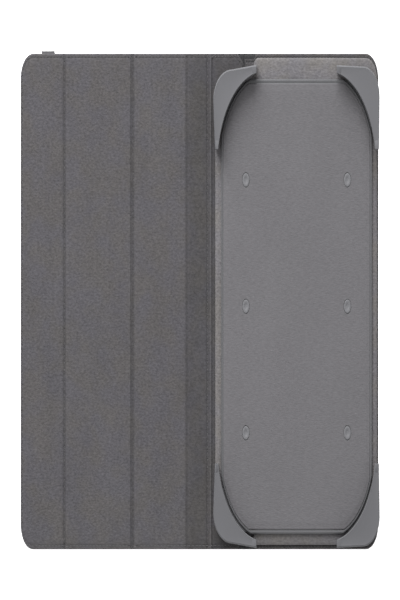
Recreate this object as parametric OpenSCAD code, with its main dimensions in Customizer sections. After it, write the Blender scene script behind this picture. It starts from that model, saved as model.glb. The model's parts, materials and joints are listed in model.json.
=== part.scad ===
// Folio case for a small tablet, lying open on its outer face with the lining up.
// X runs across the open case, front cover at -X and tablet side at +X.
// Y runs up the pages and Z up off the table. The origin is the middle of the footprint.
// Millimetres throughout.

/* [Tablet] */
// Width of the tablet that the corner grips hold
tablet_w = 134.3; // [133:0.1:135]
// Length of the tablet
tablet_l = 199.7; // [198:0.1:200.5]
// Depth of the space between the pad and the grips' lips
tablet_depth = 8; // [7:0.1:9]
// Corner radius of the tablet
tablet_r = 10; // [8:0.5:12]

/* [Cover] */
// Width of the open case, from the front cover's free edge to the rear leaf's
case_w = 304; // [303.5:0.1:304.5]
// Height of the covers
case_h = 211; // [210:0.5:212]
// Radius of the covers' outer corners
corner_r = 10.5; // [8:0.5:13]
// Thickness of the outer skin
skin_t = 0.8; // [0.6:0.1:1]
// Thickness of the stiffening boards
board_t = 1.6; // [1.2:0.1:1.8]
// Thickness of the suede lining
lining_t = 0.8; // [0.6:0.1:1]
// Width of the skin's turned edge round each board
turn_w = 1.2; // [0.8:0.1:2]

/* [Folds] */
// X of the crease between the front cover's outer and middle panels
outer_crease_x = -114.8; // [-116:0.1:-113]
// X of the crease between the front cover's middle and inner panels
inner_crease_x = -57.4; // [-59:0.1:-56]
// X of the fold between the front cover and the spine
front_fold_x = -10.6; // [-11:0.1:-10.4]
// X of the fold between the spine and the tablet side
spine_fold_x = 8.2; // [8:0.1:8.6]
// X of the fold that lets the rear leaf swing away from the tablet
leaf_fold_x = 37.5; // [37:0.1:38]

/* [Tablet panel] */
// Thickness of the panel's board
panel_board_t = 1.6; // [1.2:0.1:1.8]
// Thickness of the panel's suede
panel_lining_t = 0.7; // [0.5:0.1:0.9]
// Gap that the rear cover shows round the panel
panel_margin = 1.9; // [1.5:0.1:2.5]
// Thickness of the moulded carrier plate
carrier_t = 1.8; // [1.6:0.1:2]
// Thickness of the pad under the tablet
pad_t = 0.5; // [0.4:0.1:0.6]

/* [Corner grips] */
// Length of a grip's arms, from the tablet's corner
arm_l = 33; // [28:0.5:36]
// Thickness of a grip beside the tablet, where its corner starts to turn
grip_corner_w = 3.2; // [2.8:0.1:3.4]
// Thickness of a grip above or below the tablet, where its corner starts to turn
grip_rise_w = 2.2; // [2:0.1:2.6]
// Thickness of a grip outside the tablet, at the arms' ends
grip_end_w = 2.8; // [2.4:0.1:3]
// Thickness of the lip over the tablet's face
lip_t = 1.2; // [1:0.1:1.4]
// Radius of the arc that the lip is cut to
lip_arc_r = 40; // [38:0.5:42]

/* [Elastic band] */
// Width of the elastic closing band
band_w = 11.5; // [10:0.5:13]
// Thickness of the band
band_t = 0.6; // [0.4:0.1:0.6]
// Length that the band's turn stands out of the top edge
band_turn = 1.2; // [1:0.1:1.4]
// X of the band's middle
band_x = -129; // [-131:0.5:-127]

/* [Hidden] */

// The grips reach this far past the rear leaf's edge, so the covers start this much to the left of centre
grip_overhang = 1;
left_x = -(case_w + grip_overhang) / 2;
right_x = left_x + case_w;
// The band's turn stands out of the top edge only, so the covers sit that much low
bottom_y = -(case_h + band_turn) / 2;
top_y = bottom_y + case_h;
middle_y = (bottom_y + top_y) / 2;

// Heights of the cover's layers
board_z = skin_t;
lining_z = board_z + board_t;
cover_t = lining_z + lining_t;
spine_dip = 0.4;
leaf_gap = 0.3;

// Half-gaps at the folds: a crease folds one way about the lining, a fold both ways about the middle
crease_gap = 0.15;
fold_gap = cover_t / 2 + 0.3;
board_setback = 1.2;

// Tablet panel, carrier and pad, stacked on the rear cover
backing_t = 0.3;
panel_z = cover_t;
panel_board_z = panel_z + backing_t;
panel_lining_z = panel_board_z + panel_board_t;
carrier_z = panel_lining_z + panel_lining_t;
pad_z = carrier_z + carrier_t;
seat_z = pad_z + pad_t;
lip_z = seat_z + tablet_depth;

// Tablet's place: its right and bottom edges, seen from above
tablet_x1 = right_x + grip_overhang - grip_corner_w;
tablet_x0 = tablet_x1 - tablet_w;
tablet_y0 = bottom_y + grip_corner_w + 0.3;
tablet_y1 = tablet_y0 + tablet_l;

// Panel outline: a neck sewn to the hinge strip, then a shoulder out to full height beyond the grips
neck_x = 13;
neck_margin = 17;
shoulder_x = 45.5;
shoulder_r = 4;
panel_corner_r = 9.5;
neck_corner_r = 3;

// Diagonal cuts at the ends of the hinge strip's and the rear leaf's lining
strip_cut = [5.6, 4.2];
leaf_cut = [9, 6.5];

// Grips: the moulded foot over a tongue of the carrier plate
tongue_t = 0.7;
foot_gap = 0.1;
foot_z = carrier_z + tongue_t + foot_gap;
grip_clear = 0.2;
carrier_clear = 1;
corner_steps = 10;

// Rivets that hold the carrier to the panel
rivet_r = 1.5;
rivet_hole_r = rivet_r + 0.05;
rivet_head_r = 3;
rivet_head_t = 0.6;
rivet_pocket_r = rivet_head_r + 0.2;
rivet_inset = [24, 46];

skin_colour = [0.10, 0.10, 0.11];
board_colour = [0.55, 0.50, 0.43];
lining_colour = [0.39, 0.38, 0.40];
band_colour = [0.20, 0.20, 0.21];
plate_colour = [0.24, 0.24, 0.25];
pad_colour = [0.31, 0.31, 0.32];
rivet_colour = [0.55, 0.55, 0.56];
grip_colour = [0.50, 0.50, 0.51];

// Points of an arc about c, from angle a0 to a1; a radius of 0 is the one point c
function arc(c, r, a0, a1) = r > 0
    ? [for (i = [0 : corner_steps]) let (a = a0 + (a1 - a0) * i / corner_steps) c + r * [cos(a), sin(a)]]
    : [c];

// Outline of a rectangle whose left corners have radius rl and right corners radius rr
function rounded(x0, x1, y0, y1, rl, rr) = concat(
    arc([x0 + rl, y0 + rl], rl, 180, 270),
    arc([x1 - rr, y0 + rr], rr, 270, 360),
    arc([x1 - rr, y1 - rr], rr, 0, 90),
    arc([x0 + rl, y1 - rl], rl, 90, 180)
);

// Upper half of the tablet panel's outline, from the right edge round to the neck; d insets it
function panel_half(d) = concat(
    arc([right_x - 1.1 - panel_corner_r, top_y - panel_margin - panel_corner_r], panel_corner_r - d, 0, 90),
    arc([shoulder_x + shoulder_r, top_y - panel_margin - shoulder_r], shoulder_r - d, 90, 180),
    [[shoulder_x + d, top_y - neck_margin - d]],
    arc([neck_x + neck_corner_r, top_y - neck_margin - neck_corner_r], neck_corner_r - d, 90, 180)
);

function flip_y(points) = [for (i = [len(points) - 1 : -1 : 0]) [points[i][0], 2 * middle_y - points[i][1]]];

module slab(points, z, t) {
    translate([0, 0, z])
        linear_extrude(t)
            polygon(points);
}

// Outer skin of one cover panel: a tray whose turned edge closes the board in at top and bottom, and at a
// free side edge when it has one
module skin_tray(x0, x1, rl = 0, rr = 0) {
    well_x0 = rl > 0 ? x0 + turn_w : x0 - 1;
    well_x1 = rr > 0 ? x1 - turn_w : x1 + 1;
    color(skin_colour)
        difference() {
            slab(rounded(x0, x1, bottom_y, top_y, rl, rr), 0, lining_z);
            slab(rounded(well_x0, well_x1, bottom_y + turn_w, top_y - turn_w,
                         max(rl - turn_w, 0), max(rr - turn_w, 0)), board_z, board_t + 1);
        }
}

// Board of one cover panel, set back from its creases
module stiffener(x0, x1, rl = 0, rr = 0) {
    inset = turn_w + 0.2;
    color(board_colour)
        slab(rounded(x0 + (rl > 0 ? inset : board_setback), x1 - (rr > 0 ? inset : board_setback),
                     bottom_y + inset, top_y - inset, max(rl - inset, 0), max(rr - inset, 0)),
             board_z, board_t);
}

module suede(x0, x1, t, rl = 0, rr = 0) {
    color(lining_colour)
        slab(rounded(x0, x1, bottom_y, top_y, rl, rr), lining_z, t);
}

module front_outer_skin() {
    difference() {
        skin_tray(left_x, outer_crease_x - crease_gap, rl = corner_r);
        translate([band_x - band_w / 2, bottom_y - 1, -1])
            cube([band_w, case_h + 2, 1 + band_t]);
    }
}

module front_outer_board() { stiffener(left_x, outer_crease_x - crease_gap, rl = corner_r); }
module front_outer_lining() { suede(left_x, outer_crease_x - crease_gap, lining_t, rl = corner_r); }

// The band lies in its channel under the front cover, and turns up round the top edge into the seam
module elastic_band() {
    color(band_colour) {
        translate([band_x - band_w / 2, bottom_y, 0])
            cube([band_w, case_h + band_turn, band_t]);
        translate([band_x - band_w / 2, top_y, 0])
            cube([band_w, band_turn, lining_z + 0.3]);
    }
}

module front_middle_skin() { skin_tray(outer_crease_x + crease_gap, inner_crease_x - crease_gap); }
module front_middle_board() { stiffener(outer_crease_x + crease_gap, inner_crease_x - crease_gap); }
module front_middle_lining() { suede(outer_crease_x + crease_gap, inner_crease_x - crease_gap, lining_t); }

module front_inner_skin() { skin_tray(inner_crease_x + crease_gap, front_fold_x - fold_gap); }
module front_inner_board() { stiffener(inner_crease_x + crease_gap, front_fold_x - fold_gap); }
module front_inner_lining() { suede(inner_crease_x + crease_gap, front_fold_x - fold_gap, lining_t); }

module spine_skin() { skin_tray(front_fold_x + fold_gap, spine_fold_x - fold_gap); }
module spine_board() { stiffener(front_fold_x + fold_gap, spine_fold_x - fold_gap); }
module spine_lining() { suede(front_fold_x + fold_gap, spine_fold_x - fold_gap, lining_t - spine_dip); }

module hinge_strip_skin() { skin_tray(spine_fold_x + fold_gap, leaf_fold_x - crease_gap); }
module hinge_strip_board() { stiffener(spine_fold_x + fold_gap, leaf_fold_x - crease_gap); }

module hinge_strip_lining() {
    x1 = leaf_fold_x - crease_gap;
    color(lining_colour)
        slab([[spine_fold_x + fold_gap, bottom_y],
              [x1 - strip_cut[0], bottom_y], [x1, bottom_y + strip_cut[1]],
              [x1, top_y - strip_cut[1]], [x1 - strip_cut[0], top_y],
              [spine_fold_x + fold_gap, top_y]],
             lining_z, lining_t);
}

module rear_leaf_skin() { skin_tray(leaf_fold_x + crease_gap, right_x, rr = corner_r); }
module rear_leaf_board() { stiffener(leaf_fold_x + crease_gap, right_x, rr = corner_r); }

module rear_leaf_lining() {
    x0 = leaf_fold_x + crease_gap;
    color(lining_colour)
        slab(concat([[x0, top_y - leaf_cut[1]], [x0, bottom_y + leaf_cut[1]], [x0 + leaf_cut[0], bottom_y]],
                    arc([right_x - corner_r, bottom_y + corner_r], corner_r, 270, 360),
                    arc([right_x - corner_r, top_y - corner_r], corner_r, 0, 90),
                    [[x0 + leaf_cut[0], top_y]]),
             lining_z, lining_t - leaf_gap);
}

// Six rivet places: along the carrier's long sides, and at mid-height
module at_rivets() {
    for (sx = [-1, 1], row = [-1, 0, 1])
        translate([(tablet_x0 + tablet_x1) / 2 + sx * (tablet_w / 2 - rivet_inset[0]),
                   (tablet_y0 + tablet_y1) / 2 + row * (tablet_l / 2 - rivet_inset[1]), 0])
            children();
}

module bored(r, z0, z1) {
    difference() {
        children();
        at_rivets()
            translate([0, 0, z0])
                cylinder(r = r, h = z1 - z0, $fn = 48);
    }
}

module tablet_panel_backing() {
    color(lining_colour)
        slab(concat(panel_half(0), flip_y(panel_half(0))), panel_z, backing_t);
}

module tablet_panel_board() {
    color(board_colour)
        bored(rivet_pocket_r, panel_board_z - 1, panel_board_z + rivet_head_t)
            bored(rivet_hole_r, panel_board_z, panel_board_z + panel_board_t + 1)
                slab(concat(panel_half(0.6), flip_y(panel_half(0.6))), panel_board_z, panel_board_t);
}

module tablet_panel_lining() {
    color(lining_colour)
        bored(rivet_hole_r, panel_lining_z - 1, carrier_z + 1)
            slab(concat(panel_half(0), flip_y(panel_half(0))), panel_lining_z, panel_lining_t);
}

// Puts its child, drawn about a tablet corner with the tablet on +X and +Y, at each corner in turn
module at_corner(right, upper) {
    translate([right ? tablet_x1 : tablet_x0, upper ? tablet_y1 : tablet_y0, 0])
        mirror([right ? 1 : 0, 0, 0])
            mirror([0, upper ? 1 : 0, 0])
                children();
}

// Outline of a plate over the tablet's footprint that clears the grips' feet by d, inset from the edges by e
function between_grips(d, e) = let (
        r = lip_arc_r - d,
        a = acos((lip_arc_r - e) / r)
    ) [for (q = [[0, 0, 180], [1, 0, 270], [1, 1, 0], [0, 1, 90]])
        let (c = [q[0] > 0 ? tablet_x1 - lip_arc_r : tablet_x0 + lip_arc_r,
                  q[1] > 0 ? tablet_y1 - lip_arc_r : tablet_y0 + lip_arc_r])
        for (i = [0 : corner_steps])
            let (t = q[2] + a + (90 - 2 * a) * i / corner_steps)
            c + r * [cos(t), sin(t)]];

module carrier_plate() {
    color(plate_colour)
        bored(rivet_hole_r, carrier_z - 1, pad_z + 1)
            union() {
                slab(between_grips(carrier_clear, 3), carrier_z, carrier_t);
                for (right = [false, true], upper = [false, true])
                    at_corner(right, upper)
                        slab(concat(arc([12, 12], 8, 180, 270), [[22, 4], [22, 22], [4, 22]]),
                             carrier_z, tongue_t);
            }
}

module carrier_pad() {
    color(pad_colour)
        bored(rivet_pocket_r, pad_z - 1, seat_z + 1)
            slab(between_grips(carrier_clear + 1.5, 5), pad_z, pad_t);
}

module carrier_rivets() {
    color(rivet_colour)
        at_rivets()
            union() {
                translate([0, 0, panel_board_z])
                    cylinder(r = rivet_r, h = pad_z - panel_board_z + 0.1, $fn = 48);
                translate([0, 0, panel_board_z])
                    cylinder(r = rivet_head_r, h = rivet_head_t, $fn = 48);
                translate([0, 0, pad_z])
                    cylinder(r = rivet_head_r, h = pad_t - 0.1, $fn = 48);
            }
}

// Outside edge of a grip, from one arm's end round its elliptical corner to the other's
function grip_outside() = let (turn = tablet_r + 1) concat(
    [[-grip_end_w, arm_l]],
    [for (i = [0 : corner_steps]) let (a = 180 + 90 * i / corner_steps)
        [turn, turn] + [(turn + grip_corner_w) * cos(a), (turn + grip_rise_w) * sin(a)]],
    [[arm_l, -grip_end_w]]
);

// Inside edge of the lip, from the second arm's end back to the first
function lip_inside() = let (
        across = lip_arc_r - arm_l,
        a = atan2(sqrt(lip_arc_r * lip_arc_r - across * across), across)
    ) arc([lip_arc_r, lip_arc_r], lip_arc_r, 180 + a, 270 - a);

// A moulded corner: a foot under the tablet, a wall round its corner and a lip over its face
module grip(right, upper) {
    plan = concat(grip_outside(), lip_inside());
    color(grip_colour)
        at_corner(right, upper)
            union() {
                slab(plan, foot_z, seat_z - foot_z);
                slab(plan, lip_z, lip_t);
                translate([0, 0, foot_z])
                    linear_extrude(lip_z + lip_t - foot_z)
                        difference() {
                            polygon(concat(grip_outside(), [[arm_l, arm_l]]));
                            polygon(concat(arc([1, 1] * (tablet_r - grip_clear), tablet_r, 180, 270),
                                           [[arm_l + 1, -grip_clear], [1, 1] * (arm_l + 1),
                                            [-grip_clear, arm_l + 1]]));
                        }
            }
}

module grip_top_left() { grip(false, true); }
module grip_top_right() { grip(true, true); }
module grip_bottom_left() { grip(false, false); }
module grip_bottom_right() { grip(true, false); }

front_outer_skin();
front_outer_board();
front_outer_lining();
elastic_band();
front_middle_skin();
front_middle_board();
front_middle_lining();
front_inner_skin();
front_inner_board();
front_inner_lining();
spine_skin();
spine_board();
spine_lining();
hinge_strip_skin();
hinge_strip_board();
hinge_strip_lining();
rear_leaf_skin();
rear_leaf_board();
rear_leaf_lining();
tablet_panel_backing();
tablet_panel_board();
tablet_panel_lining();
carrier_plate();
carrier_pad();
carrier_rivets();
grip_top_left();
grip_top_right();
grip_bottom_left();
grip_bottom_right();
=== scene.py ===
"""Folio case for a small tablet, lying open on a pale floor with its suede lining up.

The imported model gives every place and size. Each class below dresses one sub-assembly of the case.
Lengths inside the classes are in millimetres, and become metres where a mesh is made.
"""

import json
import logging
import math
from dataclasses import dataclass, field
from enum import Enum
from typing import Callable, ClassVar, Iterable, Sequence

import bmesh
import bpy
from mathutils import Matrix, Vector

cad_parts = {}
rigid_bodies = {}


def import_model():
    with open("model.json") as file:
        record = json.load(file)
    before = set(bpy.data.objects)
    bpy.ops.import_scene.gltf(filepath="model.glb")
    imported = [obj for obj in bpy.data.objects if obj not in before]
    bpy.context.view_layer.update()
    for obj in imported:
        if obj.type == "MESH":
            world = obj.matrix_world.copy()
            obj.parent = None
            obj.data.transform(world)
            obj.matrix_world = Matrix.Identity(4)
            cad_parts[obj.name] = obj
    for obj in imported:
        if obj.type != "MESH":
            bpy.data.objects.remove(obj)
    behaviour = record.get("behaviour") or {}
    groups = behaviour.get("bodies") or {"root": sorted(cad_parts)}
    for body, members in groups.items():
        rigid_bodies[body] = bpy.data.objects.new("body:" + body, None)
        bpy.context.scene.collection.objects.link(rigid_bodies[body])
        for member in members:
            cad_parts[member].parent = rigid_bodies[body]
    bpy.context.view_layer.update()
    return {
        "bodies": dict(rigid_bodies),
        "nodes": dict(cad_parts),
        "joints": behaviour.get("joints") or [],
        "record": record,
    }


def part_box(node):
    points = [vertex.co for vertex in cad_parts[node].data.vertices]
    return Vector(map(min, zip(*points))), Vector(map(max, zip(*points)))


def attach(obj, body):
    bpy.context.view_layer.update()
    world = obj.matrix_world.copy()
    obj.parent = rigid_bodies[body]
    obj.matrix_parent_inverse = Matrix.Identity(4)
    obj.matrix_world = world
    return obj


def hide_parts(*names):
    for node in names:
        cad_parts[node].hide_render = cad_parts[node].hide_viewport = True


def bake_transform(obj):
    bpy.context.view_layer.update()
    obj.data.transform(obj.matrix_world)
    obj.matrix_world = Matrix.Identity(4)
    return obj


log = logging.getLogger("tablet_case")

MM = 0.001
# Name of the point attribute that holds the folds' painted shade.
GROOVE_PAINTED_SHADE = "groove"
SHARP_ANGLE = math.radians(42)
MERGE_DISTANCE = 1e-7

Point2 = tuple[float, float]
Colour = tuple[float, float, float]


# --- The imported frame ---


class CaseFrame:
    """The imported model's boxes and hinge lines, in millimetres."""

    def __init__(self, frame: dict) -> None:
        """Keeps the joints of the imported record.
        """
        self.joints = {joint["name"]: joint for joint in frame["record"]["behaviour"]["joints"]}

    def box(self, node: str) -> tuple[Vector, Vector]:
        """Gives a node's lowest and highest corners.

        Args:
            node: The node's name.

        Returns:
            The two corners, in millimetres.
        """
        low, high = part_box(node)
        return Vector(low) / MM, Vector(high) / MM

    def hinge(self, joint: str) -> Vector:
        """Gives a point on a joint's axis, in millimetres."""
        return Vector(self.joints[joint]["pos_m"]) / MM


# --- Nodes ---


class Signal:
    """A number that leaves a node, with arithmetic that adds Math nodes."""

    def __init__(self, kit: "NodeKit", socket: bpy.types.NodeSocket) -> None:
        """Wraps one output socket of a tree."""
        self.kit = kit
        self.socket = socket

    def _math(self, operation: str, first: "Signal | float", second: "Signal | float") -> "Signal":
        """Adds one Math node.

        Args:
            operation: The node's operation.
            first: Its first value.
            second: Its second value.

        Returns:
            The node's result.
        """
        return self.kit.out("ShaderNodeMath", {"operation": operation}, {0: first, 1: second})

    def __add__(self, other: "Signal | float") -> "Signal":
        """self + other."""
        return self._math("ADD", self, other)

    __radd__ = __add__

    def __sub__(self, other: "Signal | float") -> "Signal":
        """self - other."""
        return self._math("SUBTRACT", self, other)

    def __rsub__(self, other: float) -> "Signal":
        """other - self."""
        return self._math("SUBTRACT", other, self)

    def __mul__(self, other: "Signal | float") -> "Signal":
        """self * other."""
        return self._math("MULTIPLY", self, other)

    __rmul__ = __mul__


class NodeKit:
    """Adds nodes to one tree, for shaders and for Geometry Nodes."""

    def __init__(self, tree: bpy.types.NodeTree) -> None:
        """Keeps the tree that the nodes go into."""
        self.tree = tree

    def add(self, kind: str, settings: dict | None = None, sockets: dict | None = None) -> bpy.types.Node:
        """Adds one node.

        Args:
            kind: The node's type.
            settings: Properties, set first.
            sockets: Values or links of the inputs, by name or number.

        Returns:
            The node.
        """
        node = self.tree.nodes.new(kind)
        for name, value in (settings or {}).items():
            setattr(node, name, value)
        self.feed(node, sockets or {})
        return node

    def feed(self, node: bpy.types.Node, sockets: dict) -> None:
        """Sets or links a node's inputs.

        Args:
            node: The node.
            sockets: Values or links of its inputs, by name or number.
        """
        for name, value in sockets.items():
            source = value.socket if isinstance(value, Signal) else value
            if isinstance(source, bpy.types.NodeSocket):
                self.tree.links.new(source, node.inputs[name])
            else:
                node.inputs[name].default_value = source

    def out(self, kind: str, settings: dict | None = None, sockets: dict | None = None,
            output: int | str = 0) -> Signal:
        """Adds one node and gives one of its outputs.

        Args:
            kind: The node's type.
            settings: As in add.
            sockets: As in add.
            output: Name or number of the output.

        Returns:
            The output as a signal.
        """
        return Signal(self, self.add(kind, settings, sockets).outputs[output])

    def mix(self, factor: Signal | float, first: "Signal | Colour", second: "Signal | Colour",
            blend: str = "MIX") -> Signal:
        """Mixes two colours.

        Args:
            factor: 0 for the first and 1 for the second.
            first: A colour, or a link that carries one.
            second: The other colour.
            blend: How the two are mixed.

        Returns:
            The mixed colour.
        """
        colours = [value if isinstance(value, Signal) else (*value, 1.0) for value in (first, second)]
        return self.out("ShaderNodeMix", {"data_type": "RGBA", "blend_type": blend},
                        {0: factor, 6: colours[0], 7: colours[1]}, 2)


def new_tree(name: str, inputs: dict[str, str]) -> tuple[NodeKit, bpy.types.bpy_prop_collection]:
    """Starts a Geometry Nodes tree that takes and gives a geometry.

    Args:
        name: The tree's name.
        inputs: The kinds of its other inputs, by name.

    Returns:
        The tree's kit, and the sockets of its input node.
    """
    tree = bpy.data.node_groups.new(name, "GeometryNodeTree")
    for label, kind in {"Geometry": "Geometry", **inputs}.items():
        tree.interface.new_socket(label, in_out="INPUT", socket_type=f"NodeSocket{kind}")
    tree.interface.new_socket("Geometry", in_out="OUTPUT", socket_type="NodeSocketGeometry")
    kit = NodeKit(tree)
    return kit, kit.add("NodeGroupInput").outputs


# --- Finishes ---


@dataclass(frozen=True)
class Finish:
    """What every finish of the case shares: a name, a colour, and the record's slot that it belongs to."""

    name: str
    colour: Colour
    slot: str

    def shade(self, kit: NodeKit, shader: bpy.types.Node) -> None:
        """Adds the finish's own nodes; each kind of finish has its own."""
        raise NotImplementedError

    def material(self) -> bpy.types.Material:
        """Makes the material the first time, and finds it again after that."""
        found = bpy.data.materials.get(self.name)
        if found:
            return found
        made = bpy.data.materials.new(self.name)
        made.use_nodes = True
        shader = made.node_tree.nodes["Principled BSDF"]
        shader.inputs["Base Color"].default_value = (*self.colour, 1.0)
        self.shade(NodeKit(made.node_tree), shader)
        return made

    def tone(self, factor: float) -> Colour:
        """The finish's colour, lighter or darker by a factor."""
        return tuple(min(channel * factor, 1.0) for channel in self.colour)


def place(kit: NodeKit, stretch: Sequence[float] = (1.0, 1.0, 1.0), turn: float = 0.0) -> Signal:
    """Gives object coordinates, stretched and turned for a pattern.

    Args:
        kit: The tree's kit.
        stretch: How much finer the pattern is along each axis.
        turn: Angle about Z, in radians.

    Returns:
        The vector for a texture.
    """
    coordinates = kit.out("ShaderNodeTexCoord", output="Object")
    return kit.out("ShaderNodeMapping", None,
                   {"Vector": coordinates, "Scale": tuple(stretch), "Rotation": (0.0, 0.0, turn)})


def noise(kit: NodeKit, vector: Signal, scale: float, detail: float = 2.0, roughness: float = 0.5) -> Signal:
    """Adds a noise texture.

    Args:
        kit: The tree's kit.
        vector: Where it is read.
        scale: Features for each metre.
        detail: Octaves.
        roughness: Strength of the finer octaves.

    Returns:
        The noise, from 0 to 1 about 0.5.
    """
    return kit.out("ShaderNodeTexNoise", None,
                   {"Vector": vector, "Scale": scale, "Detail": detail, "Roughness": roughness})


def bump(kit: NodeKit, shader: bpy.types.Node, height: Signal, depth_mm: float, strength: float = 1.0) -> None:
    """Feeds a height, in shares of depth_mm, to the shader's normal."""
    normal = kit.out("ShaderNodeBump", None,
                     {"Height": height, "Distance": depth_mm * MM, "Strength": strength})
    kit.feed(shader, {"Normal": normal})


@dataclass(frozen=True)
class Suede(Finish):
    """Brushed microsuede: a short nap lying across the page, with faint warm and cool brushed patches."""

    grain_per_m: float = 560.0
    grain_depth_mm: float = 0.16
    contrast: float = 0.55
    warm: Colour = (1.02, 1.005, 0.965)
    cool: Colour = (0.985, 0.99, 1.035)

    def shade(self, kit: NodeKit, shader: bpy.types.Node) -> None:
        """Adds grain, specks, patches, the folds' painted shade and the nap's bump."""
        grain = noise(kit, place(kit, (0.85, 2.2, 1.0)), self.grain_per_m, 3.0, 0.6)
        specks = noise(kit, place(kit, (0.9, 2.0, 1.0)), self.grain_per_m * 2.4, 2.0, 0.7)
        patches = noise(kit, place(kit, (1.0, 0.7, 1.0), 0.3), 42.0, 3.0, 0.55)
        hue = noise(kit, place(kit, (0.8, 1.3, 1.0), -0.4), 75.0, 2.0, 0.5)
        tints = [tuple(channel * shift for channel, shift in zip(self.colour, tint, strict=True))
                 for tint in (self.cool, self.warm)]
        middle = kit.mix((hue - 0.5) * 4.0 + 0.5, *tints)
        spread = (grain - 0.5) * 2.2 + (specks - 0.5) * 1.3 + (patches - 0.5) * 0.5
        # Painted shade from the folds' point attribute: it darkens the suede in their grooves and lightens it
        # on their ridges; pieces without it read 0.
        groove = kit.out("ShaderNodeAttribute", {"attribute_name": GROOVE_PAINTED_SHADE}, None, "Fac")
        value = (1.0 + spread * self.contrast) * (1.0 - groove)
        level = kit.out("ShaderNodeCombineColor", None, {name: value for name in ("Red", "Green", "Blue")})
        kit.feed(shader, {"Base Color": kit.mix(1.0, middle, level, "MULTIPLY"),
                          "Roughness": 0.98 - grain * 0.12,
                          "Sheen Weight": 0.1,
                          "Sheen Roughness": 0.5,
                          "Specular IOR Level": 0.1})
        bump(kit, shader, grain * 0.7 + specks * 0.3 + patches * 1.2, self.grain_depth_mm, 0.8)


@dataclass(frozen=True)
class GrainedLeather(Finish):
    """Coated leather with a fine pebble, creased a little and worn smoother in places."""

    pebble_per_m: float = 1250.0

    def shade(self, kit: NodeKit, shader: bpy.types.Node) -> None:
        """Adds pebbles, fine creases and the uneven polish."""
        where = place(kit)
        warp = noise(kit, where, 260.0, 2.0)
        pebbles = kit.out("ShaderNodeTexVoronoi", {"feature": "F1"},
                          {"Vector": where, "Scale": self.pebble_per_m, "Randomness": 0.9})
        creases = noise(kit, place(kit, (1.0, 0.45, 1.0), 0.5), 430.0, 5.0, 0.6)
        wear = noise(kit, where, 28.0, 3.0)
        kit.feed(shader, {"Base Color": kit.mix(pebbles * 0.8 + wear * 0.4, self.tone(1.5), self.tone(0.7)),
                          "Roughness": 0.54 + wear * 0.14 + pebbles * 0.12,
                          "Specular IOR Level": 0.22})
        bump(kit, shader, 1.0 - pebbles * 0.9 + creases * 0.5 + warp * 0.3, 0.12, 0.75)


@dataclass(frozen=True)
class SoftRubber(Finish):
    """Smooth moulded elastomer with a matt bloom and faint flow marks."""

    def shade(self, kit: NodeKit, shader: bpy.types.Node) -> None:
        """Adds the bloom, the flow marks and the mould's fine texture."""
        where = place(kit)
        bloom = noise(kit, where, 75.0, 3.0, 0.5)
        flow = noise(kit, place(kit, (1.0, 0.35, 1.0), 0.8), 160.0, 3.0, 0.6)
        tooth = noise(kit, where, 3800.0, 2.0, 0.6)
        shade = bloom * 0.6 + flow * 0.4
        kit.feed(shader, {"Base Color": kit.mix(shade, self.tone(0.93), self.tone(1.07)),
                          "Roughness": 0.56 + bloom * 0.14 + tooth * 0.06,
                          "Specular IOR Level": 0.28})
        bump(kit, shader, tooth * 0.35 + flow * 0.65, 0.05, 0.5)


@dataclass(frozen=True)
class WovenElastic(Finish):
    """Ribbed elastic: rubber cores run along it, and the cover yarn wraps across them."""

    wraps_per_m: float = 1400.0

    def shade(self, kit: NodeKit, shader: bpy.types.Node) -> None:
        """Adds the wrapping yarns and their fuzz."""
        where = place(kit)
        wraps = kit.out("ShaderNodeTexWave", {"wave_type": "BANDS", "bands_direction": "Y"},
                        {"Vector": where, "Scale": self.wraps_per_m / 6.28, "Distortion": 1.2,
                         "Detail": 2.0, "Detail Scale": 3.0}, "Fac")
        fuzz = noise(kit, where, 2600.0, 3.0, 0.7)
        kit.feed(shader, {"Base Color": kit.mix(wraps * 0.6 + fuzz * 0.4, self.tone(0.55), self.tone(1.5)),
                          "Roughness": 0.85,
                          "Sheen Weight": 0.15})
        bump(kit, shader, wraps * 0.7 + fuzz * 0.3, 0.12, 0.8)


@dataclass(frozen=True)
class MouldedPlastic(Finish):
    """Spark-textured moulding."""

    texture_per_m: float = 2300.0

    def shade(self, kit: NodeKit, shader: bpy.types.Node) -> None:
        """Adds the spark texture and a slight unevenness of polish."""
        where = place(kit)
        spark = kit.out("ShaderNodeTexVoronoi", {"feature": "SMOOTH_F1"},
                        {"Vector": where, "Scale": self.texture_per_m, "Randomness": 1.0})
        polish = noise(kit, where, 90.0, 3.0)
        kit.feed(shader, {"Base Color": kit.mix(spark * 0.7 + polish * 0.3, self.tone(1.15), self.tone(0.85)),
                          "Roughness": 0.52 + polish * 0.16,
                          "Specular IOR Level": 0.3})
        bump(kit, shader, spark + polish * 0.2, 0.05, 0.7)


@dataclass(frozen=True)
class Felt(Finish):
    """Short-napped felt with stray fibres."""

    def shade(self, kit: NodeKit, shader: bpy.types.Node) -> None:
        """Adds two crossing layers of fibres and broad wear."""
        first = noise(kit, place(kit, (0.35, 2.4, 1.0), 0.6), 900.0, 3.0, 0.7)
        second = noise(kit, place(kit, (0.35, 2.4, 1.0), -0.75), 1100.0, 3.0, 0.7)
        wear = noise(kit, place(kit), 26.0, 3.0)
        fibres = first * 0.5 + second * 0.5
        shade = (fibres - 0.5) * 2.0 + wear * 0.25 + 0.38
        kit.feed(shader, {"Base Color": kit.mix(shade, self.tone(0.72), self.tone(1.3)),
                          "Roughness": 0.95,
                          "Sheen Weight": 0.1,
                          "Specular IOR Level": 0.15})
        bump(kit, shader, fibres + wear * 0.6, 0.14, 0.8)


@dataclass(frozen=True)
class PressedBoard(Finish):
    """Pressed book board with flecks of pulp."""

    def shade(self, kit: NodeKit, shader: bpy.types.Node) -> None:
        """Adds flecks and a fibrous tooth."""
        where = place(kit)
        flecks = noise(kit, where, 1500.0, 4.0, 0.75)
        cloud = noise(kit, where, 60.0, 3.0)
        kit.feed(shader, {"Base Color": kit.mix(flecks * 0.7 + cloud * 0.3, self.tone(0.75), self.tone(1.25)),
                          "Roughness": 0.9})
        bump(kit, shader, flecks, 0.08, 0.6)


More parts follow.
